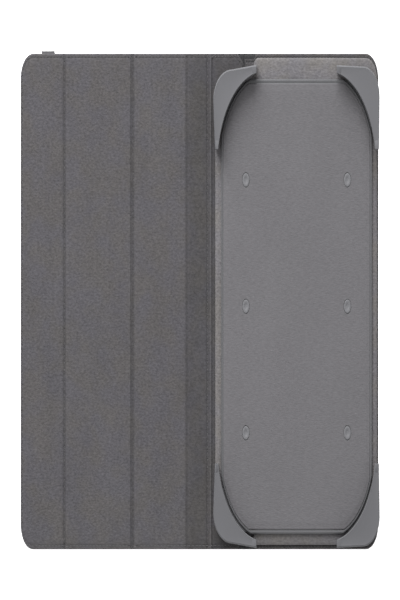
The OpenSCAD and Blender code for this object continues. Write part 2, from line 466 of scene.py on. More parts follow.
@dataclass(frozen=True)
class SpunThread(Finish):
    """Twisted sewing thread."""

    def shade(self, kit: NodeKit, shader: bpy.types.Node) -> None:
        """Adds the twist of the plies."""
        twist = kit.out("ShaderNodeTexWave", {"wave_type": "BANDS", "bands_direction": "DIAGONAL"},
                        {"Vector": place(kit), "Scale": 620.0, "Distortion": 0.6, "Detail": 1.0}, "Fac")
        kit.feed(shader, {"Base Color": kit.mix(twist, self.tone(0.7), self.tone(1.2)),
                          "Roughness": 0.7})
        bump(kit, shader, twist, 0.06, 0.6)


@dataclass(frozen=True)
class PlainPaint(Finish):
    """Matt floor paint with the faintest mottle, over a soft glow that lifts the shadows."""

    glow: float = 0.55

    def shade(self, kit: NodeKit, shader: bpy.types.Node) -> None:
        """Adds the mottle and the glow."""
        mottle = noise(kit, place(kit), 4.0, 3.0)
        kit.feed(shader, {"Base Color": kit.mix(mottle, self.tone(0.985), self.tone(1.0)),
                          "Roughness": 0.9,
                          "Specular IOR Level": 0.1,
                          "Emission Color": (1.0, 1.0, 1.0, 1.0),
                          "Emission Strength": self.glow})


LINING_SUEDE = Suede("lining_suede", (0.0458, 0.0438, 0.0460), "lining")
# Painted shade: the same lining suede made darker, for the shade on the dipped spine and on the hinge strip,
# which lay in the tablet's shadow.
SPINE_SUEDE_PAINTED_SHADE = Suede("spine_suede", (0.0342, 0.0328, 0.0340), "lining")
# Painted shade: the same lining suede made darker, for the shade along the rear leaf's rim beside the raised
# tablet panel.
LEAF_SUEDE_PAINTED_SHADE = Suede("leaf_suede", (0.0400, 0.0380, 0.0392), "lining")
# Painted light: the same lining suede made lighter, for the light falling on the tablet panel's raised, rounded
# top.
PANEL_SUEDE_PAINTED_LIGHT = Suede("panel_suede_painted_light", (0.0790, 0.0757, 0.0771), "lining")
BLACK_LEATHER = GrainedLeather("black_leather", (0.013, 0.013, 0.014), "skin")
GRIP_RUBBER = SoftRubber("grip_rubber", (0.0605, 0.0605, 0.0650), "grip")
BAND_ELASTIC = WovenElastic("band_elastic", (0.035, 0.034, 0.037), "band")
CARRIER_PLASTIC = MouldedPlastic("carrier_plastic", (0.050, 0.050, 0.053), "plate")
RIVET_PLASTIC = MouldedPlastic("rivet_plastic", (0.075, 0.075, 0.080), "rivet", 3200.0)
PAD_FELT = Felt("pad_felt", (0.070, 0.068, 0.072), "pad")
BOOK_BOARD = PressedBoard("book_board", (0.27, 0.22, 0.16), "board")
GREY_THREAD = SpunThread("grey_thread", (0.0450, 0.0432, 0.0450), "lining")
BLACK_THREAD = SpunThread("black_thread", (0.030, 0.030, 0.032), "skin")
# Painted shadow: a dark blob that stands for the shade inside each needle hole.
NEEDLE_SHADOW = SpunThread("needle_shadow", (0.018, 0.017, 0.018), "lining")
FLOOR_PAINT = PlainPaint("floor_paint", (0.93, 0.93, 0.93), "floor")


# --- Outlines and lofts ---


def arc(centre: Point2, radius: float, start: float, end: float, steps: int = 14) -> list[Point2]:
    """Gives points along a circular arc.

    Args:
        centre: Its centre.
        radius: Its radius.
        start: First angle, in degrees.
        end: Last angle, in degrees.
        steps: Number of chords.

    Returns:
        The points, both ends included.
    """
    angles = (math.radians(start + (end - start) * step / steps) for step in range(steps + 1))
    return [(centre[0] + radius * math.cos(a), centre[1] + radius * math.sin(a)) for a in angles]


def smooth(t: float) -> float:
    """Eases from 0 to 1, and holds outside."""
    t = min(max(t, 0.0), 1.0)
    return t * t * (3 - 2 * t)


def hump(x: float, centre: float, width: float) -> float:
    """A bell of height 1 about centre."""
    return math.exp(-((x - centre) / width) ** 2)


class Outline:
    """A closed counter-clockwise outline that can be inset, except along its crease sides."""

    def __init__(self, points: Sequence[Point2], creases: Iterable[float] = ()) -> None:
        """Works out which way each corner moves as the outline is inset.

        Args:
            points: The corners.
            creases: X of the upright sides that stay where they are.
        """
        self.points = list(points)
        fixed = list(creases)
        count = len(self.points)
        sides = []
        for index, (x0, y0) in enumerate(self.points):
            x1, y1 = self.points[(index + 1) % count]
            length = math.hypot(x1 - x0, y1 - y0)
            stays = any(abs(x0 - x) < 1e-6 and abs(x1 - x) < 1e-6 for x in fixed)
            sides.append(((y0 - y1) / length, (x1 - x0) / length, 0.0 if stays else 1.0))
        self.free = [side[2] > 0 for side in sides]
        self.moves = [self._corner_move(sides[index - 1], sides[index]) for index in range(count)]

    @staticmethod
    def _corner_move(before: Sequence[float], after: Sequence[float]) -> Point2:
        """Gives how far a corner moves for each millimetre of inset.

        Args:
            before: Inward normal and weight of the side before the corner.
            after: The same of the side after it.

        Returns:
            The move in X and Y.
        """
        turn = before[0] * after[1] - before[1] * after[0]
        if abs(turn) < 1e-6:
            return (before[0] * before[2], before[1] * before[2])
        return ((before[2] * after[1] - after[2] * before[1]) / turn,
                (after[2] * before[0] - before[2] * after[0]) / turn)

    def inset(self, distance: float, z: float) -> list[Vector]:
        """Gives the outline inset by a distance, at a height."""
        return [Vector((x + dx * distance, y + dy * distance, z))
                for (x, y), (dx, dy) in zip(self.points, self.moves, strict=True)]

    def free_runs(self, distance: float, z: float) -> list[list[Vector]]:
        """Gives the inset outline without its crease sides.

        Args:
            distance: The inset.
            z: The height.

        Returns:
            One run of points for each unbroken stretch of free sides.
        """
        loop = self.inset(distance, z)
        count = len(loop)
        first = next((index + 1 for index in range(count) if not self.free[index]), 0)
        runs: list[list[Vector]] = [[loop[first % count]]]
        for index in range(first, first + count):
            following = loop[(index + 1) % count]
            if self.free[index % count]:
                runs[-1].append(following)
            else:
                runs.append([following])
        return [run for run in runs if len(run) > 1]


def loft(bm: bmesh.types.BMesh, loops: Sequence[Sequence[Vector]], capped: bool = True) -> None:
    """Joins closed loops of equal length into a skin, and closes its two ends.

    Args:
        bm: The mesh that takes the faces.
        loops: The loops, in millimetres.
        capped: Whether the ends are closed.
    """
    rows = [[bm.verts.new(point * MM) for point in loop] for loop in loops]
    count = len(rows[0])
    for first, second in zip(rows, rows[1:], strict=False):
        for index in range(count):
            following = (index + 1) % count
            bm.faces.new((first[index], first[following], second[following], second[index]))
    if capped:
        bm.faces.new(list(reversed(rows[0])))
        bm.faces.new(rows[-1])


def finish_mesh(name: str, bm: bmesh.types.BMesh, finish: Finish) -> bpy.types.Object:
    """Turns a bmesh into a dressed object with outward faces and smooth shading between sharp edges.

    Args:
        name: The object's name.
        bm: The mesh, freed here.
        finish: Its finish.

    Returns:
        The object, at the origin.
    """
    bmesh.ops.remove_doubles(bm, verts=bm.verts, dist=MERGE_DISTANCE)
    bmesh.ops.dissolve_degenerate(bm, edges=bm.edges, dist=MERGE_DISTANCE)
    bmesh.ops.recalc_face_normals(bm, faces=bm.faces)
    mesh = bpy.data.meshes.new(name)
    bm.to_mesh(mesh)
    bm.free()
    return dress(bpy.data.objects.new(name, mesh), finish)


def stack(name: str, outline: Outline, rim: Sequence[Point2], finish: Finish) -> bpy.types.Object:
    """Makes a piece by lofting an outline through a rim.

    Args:
        name: The piece's name.
        outline: Its plan.
        rim: Pairs of inset and height.
        finish: Its finish.

    Returns:
        The finished piece.
    """
    bm = bmesh.new()
    loft(bm, [outline.inset(inset, z) for inset, z in rim])
    return finish_mesh(name, bm, finish)


def dress(piece: bpy.types.Object, finish: Finish) -> bpy.types.Object:
    """Links an object to the scene, gives it its material and shades it.

    Args:
        piece: The object.
        finish: Its finish.

    Returns:
        The same object.
    """
    if piece.name not in bpy.context.scene.collection.objects:
        bpy.context.scene.collection.objects.link(piece)
    piece.data.materials.clear()
    piece.data.materials.append(finish.material())
    piece.data.shade_smooth()
    piece.data.set_sharp_from_angle(angle=SHARP_ANGLE)
    return piece


def ride(piece: bpy.types.Object, body: str, finish: Finish, *nodes: str) -> None:
    """Puts a finished piece on its body, in place of the nodes it stands for.

    Args:
        piece: The piece.
        body: The body that it moves with.
        finish: Not used.
        nodes: The nodes that it replaces.
    """
    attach(piece, body)
    if nodes:
        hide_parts(*nodes)
    log.info("%s rides on %s", piece.name, body)


def bend(piece: bpy.types.Object, fold: "Fold") -> None:
    """Bakes a finished piece's transform into its mesh, without bending it.

    Args:
        piece: The piece.
        fold: The fold that it crosses.
    """
    (fold.x + fold.half) * MM
    (fold.x - fold.half) * MM
    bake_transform(piece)
    log.info("%s bends between %s and %s", piece.name, fold.right_body, fold.left_body)


def carve(piece: bpy.types.Object, cutter: bmesh.types.BMesh, finish: Finish) -> bpy.types.Object:
    """Cuts a shape out of a piece.

    Args:
        piece: The piece, replaced here.
        cutter: The shape, freed here.
        finish: The piece's finish.

    Returns:
        The cut piece, under the same name.
    """
    name = piece.name
    tool = finish_mesh(f"{name}_cutter", cutter, finish)
    modifier = piece.modifiers.new("cut", "BOOLEAN")
    modifier.operation, modifier.solver, modifier.object = "DIFFERENCE", "MANIFOLD", tool
    bpy.context.view_layer.update()
    mesh = bpy.data.meshes.new_from_object(piece.evaluated_get(bpy.context.evaluated_depsgraph_get()))
    for used in (piece, tool):
        used_mesh = used.data
        bpy.data.objects.remove(used)
        bpy.data.meshes.remove(used_mesh)
    mesh.name = name
    return dress(bpy.data.objects.new(name, mesh), finish)


def split_run(run: Sequence[Vector], low_x: float, high_x: float) -> list[list[Vector]]:
    """Leaves out the part of a run between two places across the case.

    Args:
        run: The run's points.
        low_x: Where the gap starts.
        high_x: Where it ends.

    Returns:
        The runs that remain.
    """
    parts: list[list[Vector]] = [[run[0]]]
    for start, end in zip(run, run[1:], strict=False):
        if min(start.x, end.x) < low_x and max(start.x, end.x) > high_x:
            edges = (low_x, high_x) if start.x < end.x else (high_x, low_x)
            cuts = [start.lerp(end, (x - start.x) / (end.x - start.x)) for x in edges]
            parts[-1].append(cuts[0])
            parts.append([cuts[1]])
        parts[-1].append(end)
    return parts


# --- Stitching ---


class Seam:
    """Runs of stitches, made by one Geometry Nodes tree: a thread and a dark blob for the needle hole's painted
    shadow at each pitch.
    """

    TREE_NAME = "stitch_run"
    THREAD_SIDES = 8
    THREAD_RINGS = 6

    def __init__(self, pitch: float = 2.77, length: float = 1.75, radius: float = 0.2) -> None:
        """Keeps the stitch's sizes.

        Args:
            pitch: From one needle hole to the next, in millimetres.
            length: The thread that shows between two holes.
            radius: The thread's radius.
        """
        self.sizes = {"Pitch": pitch * MM, "Length": length * MM, "Radius": radius * MM}

    def _tree(self) -> bpy.types.NodeTree:
        """Builds the tree the first time, and finds it again after that."""
        found = bpy.data.node_groups.get(self.TREE_NAME)
        if found:
            return found
        kit, given = new_tree(self.TREE_NAME, {"Pitch": "Float", "Length": "Float", "Radius": "Float",
                                               "Thread": "Material", "HoleShadow": "Material"})
        values = {name: Signal(kit, given[name]) for name in ("Pitch", "Length", "Radius")}
        path = kit.out("GeometryNodeMeshToCurve", None, {"Mesh": given["Geometry"]})
        points = kit.add("GeometryNodeCurveToPoints", {"mode": "LENGTH"},
                         {"Curve": path, "Length": values["Pitch"]})
        ball = kit.out("GeometryNodeMeshUVSphere", None,
                       {"Segments": self.THREAD_SIDES, "Rings": self.THREAD_RINGS, "Radius": 1.0})
        thread_scale = kit.out("ShaderNodeCombineXYZ", None,
                               {0: values["Radius"], 1: values["Radius"], 2: values["Length"] * 0.5})
        thread_move = kit.out("ShaderNodeCombineXYZ", None, {2: values["Pitch"] * 0.5})
        # The hole is a dark blob: painted shadow of the needle hole.
        hole_shadow_scale = kit.out("ShaderNodeCombineXYZ", None,
                             {0: values["Radius"] * 1.4, 1: values["Radius"] * 0.9,
                              2: values["Radius"] * 2.6})
        dressed = []
        for scale, move, material in ((thread_scale, thread_move, "Thread"), (hole_shadow_scale, None, "HoleShadow")):
            sockets = {"Geometry": ball, "Scale": scale}
            if move:
                sockets["Translation"] = move
            shape = kit.out("GeometryNodeTransform", None, sockets)
            placed = kit.out("GeometryNodeInstanceOnPoints", None,
                             {"Points": points.outputs["Points"], "Instance": shape,
                              "Rotation": points.outputs["Rotation"]})
            real = kit.out("GeometryNodeRealizeInstances", None, {"Geometry": placed})
            dressed.append(kit.out("GeometryNodeSetMaterial", None,
                                   {"Geometry": real, "Material": given[material]}))
        joined = kit.add("GeometryNodeJoinGeometry")
        for part in dressed:
            kit.feed(joined, {0: part})
        kit.add("NodeGroupOutput", None, {"Geometry": joined.outputs[0]})
        return kit.tree

    def sew(self, name: str, runs: Sequence[Sequence[Vector]], thread: Finish) -> bpy.types.Object:
        """Sews along the given runs.

        Args:
            name: The piece's name.
            runs: Each run's points, in millimetres.
            thread: The thread's finish.

        Returns:
            One plain mesh with every stitch.
        """
        host_mesh = bpy.data.meshes.new(name + "_path")
        points: list[Vector] = []
        edges: list[tuple[int, int]] = []
        for run in runs:
            first = len(points)
            points.extend(point * MM for point in run)
            edges.extend((index, index + 1) for index in range(first, len(points) - 1))
        host_mesh.from_pydata(points, edges, [])
        host = bpy.data.objects.new(name + "_path", host_mesh)
        bpy.context.scene.collection.objects.link(host)
        values = {**self.sizes, "Thread": thread.material(), "HoleShadow": NEEDLE_SHADOW.material()}
        return realise(host, name, self._tree(), values)


def realise(host: bpy.types.Object, name: str, tree: bpy.types.NodeTree, values: dict) -> bpy.types.Object:
    """Runs a Geometry Nodes tree on a host and keeps the result as a plain mesh.

    Args:
        host: The object that carries the tree's input, removed here.
        name: The new piece's name.
        tree: The tree.
        values: Its inputs' values, by name.

    Returns:
        The new object, at the origin.
    """
    modifier = host.modifiers.new("nodes", "NODES")
    modifier.node_group = tree
    for item in tree.interface.items_tree:
        if item.in_out == "INPUT" and item.name in values:
            modifier[item.identifier] = values[item.name]
    bpy.context.view_layer.update()
    evaluated = host.evaluated_get(bpy.context.evaluated_depsgraph_get())
    mesh = bpy.data.meshes.new_from_object(evaluated)
    mesh.name = name
    host_mesh = host.data
    bpy.data.objects.remove(host)
    bpy.data.meshes.remove(host_mesh)
    piece = bpy.data.objects.new(name, mesh)
    bpy.context.scene.collection.objects.link(piece)
    piece.data.shade_smooth()
    return piece


# --- Covers ---


class RoundSide(Enum):
    """Which side of a cover panel is free, with rounded corners."""

    NONE = "none"
    LEFT = "left"
    RIGHT = "right"


@dataclass(frozen=True)
class CoverLayers:
    """Heights and rim sizes that all the cover's panels share, in millimetres."""

    base: float
    board_low: float
    board_high: float
    top: float
    seam_z: float = 1.7
    turn: float = 1.25
    stitch_inset: float = 1.5
    corner: float = 10.5
    lining_stitch: float = -0.17
    skin_stitch: float = 0.21

    def lining_rim(self, top: float) -> list[Point2]:
        """Gives the suede's rim, from under the rim over its rolled edge to the padded middle.

        Args:
            top: Height of the flat suede.

        Returns:
            Pairs of inset and height.
        """
        low = self.seam_z + 0.02
        return [(self.turn, self.board_high), (self.turn, low), (0.05, low), (0.0, low + 0.06),
                (0.0, top - 0.9), (0.08, top - 0.6), (0.28, top - 0.32), (0.6, top - 0.12),
                (0.95, top - 0.09), (1.25, top - 0.2), (self.stitch_inset, top - 0.3),
                (1.75, top - 0.2), (2.1, top - 0.07), (2.9, top), (4.6, top + 0.04), (7.4, top + 0.07),
                (self.corner, top + 0.08)]

    def skin_rim(self) -> list[Point2]:
        """Gives the leather's rim, from inside the tray over its rolled edge to the outer face.

        Returns:
            Pairs of inset and height.
        """
        low = self.base
        return [(self.turn, self.board_low), (self.turn, self.seam_z), (0.05, self.seam_z),
                (0.0, self.seam_z - 0.06), (0.0, low + 0.9), (0.08, low + 0.55), (0.28, low + 0.28),
                (0.6, low + 0.09), (0.95, low + 0.05), (1.25, low + 0.2), (self.stitch_inset, low + 0.3),
                (1.75, low + 0.2), (2.1, low + 0.05), (2.9, low)]


@dataclass
class CoverPanel:
    """One stiff panel of the cover: its suede face, its leather face and their edge stitching."""

    name: str
    body: str
    low: Vector
    high: Vector
    layers: CoverLayers
    left: float
    right: float
    top: float
    side: RoundSide = RoundSide.NONE
    suede: Suede = LINING_SUEDE
    cut: list[Point2] = field(default_factory=list)
    channel: tuple[Vector, Vector] | None = None

    CUT_REACH: ClassVar[float] = 3.0

    def _corners(self, rounded_by: float) -> list[Point2]:
        """Gives the panel's plan, with its round corners inset when rounded_by is under the full radius.

        Args:
            rounded_by: Radius of the round corners.

        Returns:
            The corners, counter-clockwise from the bottom left.
        """
        y0, y1 = self.low.y, self.high.y
        if self.side is RoundSide.LEFT:
            return [*arc((self.left + rounded_by, y0 + rounded_by), rounded_by, 180, 270),
                    (self.right, y0), (self.right, y1),
                    *arc((self.left + rounded_by, y1 - rounded_by), rounded_by, 90, 180)]
        if self.side is RoundSide.RIGHT:
            return [(self.left, y0), *arc((self.right - rounded_by, y0 + rounded_by), rounded_by, 270, 360),
                    *arc((self.right - rounded_by, y1 - rounded_by), rounded_by, 0, 90), (self.left, y1)]
        return [(self.left, y0), (self.right, y0), (self.right, y1), (self.left, y1)]

    def _creases(self) -> list[float]:
        """Gives X of the sides that stay put when the plan is inset."""
        return [x for x, side in ((self.left, RoundSide.LEFT), (self.right, RoundSide.RIGHT))
                if self.side is not side]

    def lining(self, outline: Outline) -> bpy.types.Object:
        """Makes the suede face with its padded middle and rolled edge."""
        rim = self.layers.lining_rim(self.top)
        if self.cut:
            rim = [pair for pair in rim if pair[0] < self.CUT_REACH]
        return stack(f"{self.name}_suede", outline, rim, self.suede)

    def skin(self, outline: Outline) -> bpy.types.Object:
        """Makes the leather face, a shallow tray under the board, with the band's channel where it has one."""
        skin = stack(f"{self.name}_leather", outline, self.layers.skin_rim(), BLACK_LEATHER)
        if self.channel:
            cutter = bmesh.new()
            low, high = self.channel
            loft(cutter, [Outline([(low.x, low.y), (high.x, low.y), (high.x, high.y), (low.x, high.y)])
                          .inset(0.0, z) for z in (low.z, high.z)])
            skin = carve(skin, cutter, BLACK_LEATHER)
        return skin

    def build(self, seam: Seam) -> None:
        """Makes the panel's pieces and rides them on its body.

        Args:
            seam: The stitching to sew its edges with.
        """
        plan = Outline(self._corners(self.layers.corner), self._creases())
        lined = Outline(self.cut, self._creases()) if self.cut else plan
        ride(self.lining(lined), self.body, self.suede, f"{self.name}_lining")
        ride(self.skin(plan), self.body, BLACK_LEATHER, f"{self.name}_skin")
        above = lined.free_runs(self.layers.stitch_inset, self.top + self.layers.lining_stitch)
        below = plan.free_runs(self.layers.stitch_inset, self.layers.base + self.layers.skin_stitch)
        if self.channel:
            below = [part for run in below
                     for part in split_run(run, self.channel[0].x - 0.5, self.channel[1].x + 0.5)]
        ride(seam.sew(f"{self.name}_edge_thread", above, GREY_THREAD), self.body, GREY_THREAD)
        ride(seam.sew(f"{self.name}_outer_thread", below, BLACK_THREAD), self.body, BLACK_THREAD)


@dataclass
class Fold:
    """A strip of suede and one of leather that span a fold, with the seam's groove."""

    name: str
    left_body: str
    right_body: str
    x: float
    half: float
    low_y: float
    high_y: float
    layers: CoverLayers
    left_top: float
    right_top: float
    relief: Callable[[float], float]
    left_suede: Suede = LINING_SUEDE
    right_suede: Suede = LINING_SUEDE
    seam_x: float | None = None
    has_lining: bool = True
    columns: int = 24
    rows: int = 40

    # Painted shade for each millimetre that the groove sinks; a ridge gets painted highlight at the same rate.
    PAINTED_SHADE_PER_MM: ClassVar[float] = 0.36

    def surface(self, x: float) -> float:
        """Gives the suede's height across the fold.

        Args:
            x: Place across it.

        Returns:
            The height of the flat of the suede.
        """
        share = smooth((x - self.x + self.half) / (2 * self.half))
        return self.left_top + (self.right_top - self.left_top) * share + self.relief(x)

    def _loop(self, x: float, rim: Sequence[Point2], sway: float) -> list[Vector]:
        """Gives one closed section across the strip.

        Args:
            x: Place of the section.
            rim: Its rim, as pairs of inset and height.
            sway: How far the middle wanders up and down.

        Returns:
            The section's points.
        """
        lower = [Vector((x, self.low_y + inset, z)) for inset, z in rim]
        upper = [Vector((x, self.high_y - inset, z)) for inset, z in reversed(rim)]
        depth, height = rim[-1]
        span = self.high_y - self.low_y - 2 * depth
        middle = []
        for row in range(1, self.rows):
            t = row / self.rows
            wave = math.sin(t * 61.0) * 0.6 + math.sin(t * 23.0 + 1.3) * 0.4
            middle.append(Vector((x, self.low_y + depth + span * t, height + sway * wave)))
        return lower + middle + upper

    def _xs(self) -> list[float]:
        """Gives the places of the strip's sections."""
        return [self.x - self.half + 2 * self.half * step / self.columns for step in range(self.columns + 1)]

    def lining(self) -> bpy.types.Object:
        """Makes the suede strip, with its painted shade kept in a point attribute."""
        loops = []
        for x in self._xs():
            top = self.surface(x)
            sink = max(0.0, -self.relief(x))
            rim = self.layers.lining_rim(top)
            rim[0] = (rim[0][0], rim[0][1] - min(sink, 0.9))
            edge = hump(x, self.x, self.half * 0.6)
            loops.append(self._loop(x, rim, 0.05 * edge))
        bm = bmesh.new()
        loft(bm, loops)
        strip = finish_mesh(f"{self.name}_suede_crease", bm, LINING_SUEDE)
        # Painted shade: each point keeps how much darker the suede is drawn there, for the shade in the groove
        # and the light on the ridge.
        groove = strip.data.attributes.new(GROOVE_PAINTED_SHADE, "FLOAT", "POINT")
        for vertex, item in zip(strip.data.vertices, groove.data, strict=True):
            item.value = self._painted_groove_shade(vertex.co.x / MM)
        return strip

    def _painted_groove_shade(self, x: float) -> float:
        """Gives the painted shade across the fold: darker in its groove, lighter as painted highlight on its
        ridge, and blending between the two sides' suede tones.

        Args:
            x: Place across the fold.

        Returns:
            The share of the lining's own tone that is lost.
        """
        left, right = (1.0 - suede.colour[0] / LINING_SUEDE.colour[0]
                       for suede in (self.left_suede, self.right_suede))
        share = smooth((x - self.x + self.half) / (2 * self.half))
        return left + (right - left) * share - self.PAINTED_SHADE_PER_MM * self.relief(x)

    def skin(self) -> bpy.types.Object:
        """Makes the leather strip, finely wrinkled along the fold."""
        loops = []
        for x in self._xs():
            rim = self.layers.skin_rim()
            wrinkle = 0.1 * math.sin((x - self.x) * 3.4) ** 2 * hump(x, self.x, self.half * 0.7)
            rim = [(inset, z + wrinkle if z < self.layers.board_low / 2 else z) for inset, z in rim]
            loops.append(self._loop(x, rim, 0.0))
        bm = bmesh.new()
        loft(bm, loops)
        return finish_mesh(f"{self.name}_leather_crease", bm, BLACK_LEATHER)

    def build(self, seam: Seam) -> None:
        """Makes the fold's pieces and bakes them in place.

        Args:
            seam: The stitching to sew with.
        """
        if self.has_lining:
            bend(self.lining(), self)
            runs = []
            inset = self.layers.stitch_inset
            for y in (self.low_y + inset, self.high_y - inset):
                runs.append([Vector((x, y, self.surface(x) + self.layers.lining_stitch)) for x in self._xs()])
            if self.seam_x is not None:
                z = self.surface(self.seam_x) + 0.04
                runs.append([Vector((self.seam_x, y, z)) for y in (self.low_y + 3.0, self.high_y - 3.0)])
            bend(seam.sew(f"{self.name}_thread", runs, GREY_THREAD), self)
        bend(self.skin(), self)


class Cover:
    """The whole cover: six stiff panels and the five folds between them."""

    FOLD_HALF = 3.6
    CREASE_HALF = 3.4
    LEAF_HALF = 1.6
    WELT_X = 1.0
    STRIP_CUT = (5.6, 4.2)
    LEAF_SHELF = 8.2
    LEAF_CUT = (9.4, 1.9)
    LEAF_GAP = 0.15

    def __init__(self, frame: CaseFrame) -> None:
        """Reads the cover's sizes from the frame.

        Args:
            frame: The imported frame.
        """
        self.frame = frame
        skin_low, skin_high = frame.box("front_outer_skin")
        lining_low, lining_high = frame.box("front_outer_lining")
        board_low, board_high = frame.box("front_outer_board")
        self.low = Vector((skin_low.x, lining_low.y, skin_low.z))
        self.high = Vector((skin_high.x, lining_high.y, lining_high.z))
        self.layers = CoverLayers(skin_low.z, board_low.z, board_high.z, lining_high.z)
        self.spine_top = frame.box("spine_lining")[1].z
        self.leaf_top = frame.box("rear_leaf_lining")[1].z
        self.right_edge = frame.box("rear_leaf_skin")[1].x
        self.seam = Seam()
        self.folds = self._folds()

    def _folds(self) -> dict[str, Fold]:
        """Sets out the five folds."""
        at = {name: self.frame.hinge(name).x for name in
              ("outer_crease", "inner_crease", "front_fold", "spine_fold", "leaf_fold")}
        top = self.layers.top
        shared = {"low_y": self.low.y, "high_y": self.high.y, "layers": self.layers}
        outer = at["outer_crease"]
        inner = at["inner_crease"]
        front = at["front_fold"]
        spine = at["spine_fold"]
        welt = spine + self.WELT_X
        return {
            "outer": Fold("outer_crease", "front_outer", "front_middle", outer, self.CREASE_HALF,
                          left_top=top, right_top=top, seam_x=outer - 0.3,
                          relief=lambda x: -0.62 * hump(x, outer - 0.1, 0.95) - 0.28 * hump(x, outer - 0.9, 1.6)
                          * smooth((outer + 3.4 - x) / 3) * smooth((x - outer + 3.4) / 1.2), **shared),
            "inner": Fold("inner_crease", "front_middle", "front_inner", inner, self.CREASE_HALF,
                          left_top=top, right_top=top, seam_x=inner + 0.5,
                          relief=lambda x: -0.72 * smooth((2.3 - abs(x - inner)) / 1.3)
                          - 0.2 * hump(x, inner + 0.5, 0.5), **shared),
            "front": Fold("front_fold", "front_inner", "spine", front, self.FOLD_HALF,
                          left_top=top, right_top=self.spine_top, right_suede=SPINE_SUEDE_PAINTED_SHADE,
                          relief=lambda x: -0.5 * hump(x, front - 0.4, 1.2), **shared),
            "spine": Fold("spine_fold", "spine", "tablet_holder", spine, self.FOLD_HALF,
                          left_top=self.spine_top, right_top=top, seam_x=spine - 1.9,
                          left_suede=SPINE_SUEDE_PAINTED_SHADE, right_suede=SPINE_SUEDE_PAINTED_SHADE,
                          relief=lambda x: -0.42 * hump(x, spine - 1.9, 0.75) + 0.55 * hump(x, welt, 0.6)
                          - 0.3 * hump(x, spine + 2.5, 0.7), columns=36, **shared),
            "leaf": Fold("leaf_fold", "tablet_holder", "rear_leaf", at["leaf_fold"], self.LEAF_HALF,
                         left_top=top, right_top=self.leaf_top, relief=lambda x: 0.0,
                         has_lining=False, columns=8, **shared),
        }

    def _panel(self, name: str, body: str, left: float, right: float, top: float, **extra) -> CoverPanel:
        """Sets out one panel between two folds or edges."""
        return CoverPanel(name, body, self.low, self.high, self.layers, left, right, top, **extra)

    def build(self) -> None:
        """Makes the panels, the folds and the turned corners of the leather."""
        folds = self.folds
        top = self.layers.top
        left_of = {name: fold.x - fold.half for name, fold in folds.items()}
        right_of = {name: fold.x + fold.half for name, fold in folds.items()}
        panels = [
            self._panel("front_outer", "front_outer", self.low.x, left_of["outer"], top,
                        side=RoundSide.LEFT, channel=self._band_channel()),
            self._panel("front_middle", "front_middle", right_of["outer"], left_of["inner"], top),
            self._panel("front_inner", "front_inner", right_of["inner"], left_of["front"], top),
            # The spine's suede is drawn darker: painted shade where it dips.
            self._panel("spine", "spine", right_of["front"], left_of["spine"], self.spine_top,
                        suede=SPINE_SUEDE_PAINTED_SHADE),
            self._hinge_strip(right_of["spine"], left_of["leaf"]),
            self._rear_leaf(right_of["leaf"]),
        ]
        for panel in panels:
            panel.build(self.seam)
        for fold in folds.values():
            fold.build(self.seam)
        self._turned_corners()

    def _band_channel(self) -> tuple[Vector, Vector]:
        """Sets out the channel that the elastic band lies in, open at the top edge."""
        low, high = self.frame.box("elastic_band")
        clear = Vector((0.15, 0.0, 0.0))
        return (Vector((low.x, self.low.y + 1.3, low.z - 1.0)) - clear,
                Vector((high.x, high.y + 1.0, low.z + 0.68)) + clear)

    def _hinge_strip(self, left: float, right: float) -> CoverPanel:
        """Sets out the strip beside the spine, whose suede is cut across its far corners."""
        # The strip's suede is the spine's darker suede: painted shade for the tablet's shadow that fell on it.
        panel = self._panel("hinge_strip", "tablet_holder", left, right, self.layers.top, suede=SPINE_SUEDE_PAINTED_SHADE)
        reach = self.folds["leaf"].x - self.LEAF_GAP
        across, along = self.STRIP_CUT
        y0, y1 = self.low.y, self.high.y
        panel.cut = [(left, y0), (reach - across, y0), (reach, y0 + along), (reach, y1 - along),
                     (reach - across, y1), (left, y1)]
        return panel

    def _rear_leaf(self, left: float) -> CoverPanel:
        """Sets out the leaf behind the tablet panel, whose suede is cut across its near corners."""
        # The leaf's suede is drawn darker: painted shade along its rim.
        panel = self._panel("rear_leaf", "rear_leaf", left, self.right_edge, self.leaf_top,
                            side=RoundSide.RIGHT, suede=LEAF_SUEDE_PAINTED_SHADE)
        start = self.folds["leaf"].x + self.LEAF_GAP
        shelf = self.LEAF_SHELF
        across, along = self.LEAF_CUT
        y0, y1 = self.low.y, self.high.y
        radius = self.layers.corner
        panel.cut = [(start, y0 + along), (start + shelf, y0 + along), (start + across, y0),
                     *arc((self.right_edge - radius, y0 + radius), radius, 270, 360),
                     *arc((self.right_edge - radius, y1 - radius), radius, 0, 90),
                     (start + across, y1), (start + shelf, y1 - along), (start, y1 - along)]
        return panel

    def _turned_corners(self) -> None:
        """Makes the leather turned in over the boards where the suede is cut away."""
        fold = self.folds["leaf"]
        sides = (("hinge_strip", "tablet_holder", fold.x - 11.0, fold.x - self.LEAF_GAP),
                 ("rear_leaf", "rear_leaf", fold.x + self.LEAF_GAP, fold.x + 13.0))
        # Partly painted shade: the black leather shown in the cut corners also stands for the shade in the gap
        # between the strip and the leaf.
        z = self.layers.board_high
        for name, body, x0, x1 in sides:
            bm = bmesh.new()
            for y0, y1 in ((self.low.y + 0.5, self.low.y + 9.0), (self.high.y - 9.0, self.high.y - 0.5)):
                outline = Outline([(x0, y0), (x1, y0), (x1, y1), (x0, y1)])
                loft(bm, [outline.inset(inset, z + up) for inset, up in
                          ((0.0, -0.7), (0.0, 0.12), (0.08, 0.22), (0.25, 0.3), (1.0, 0.32))])
            ride(finish_mesh(f"{name}_turned_corner", bm, BLACK_LEATHER), body, BLACK_LEATHER)


# --- Elastic band ---


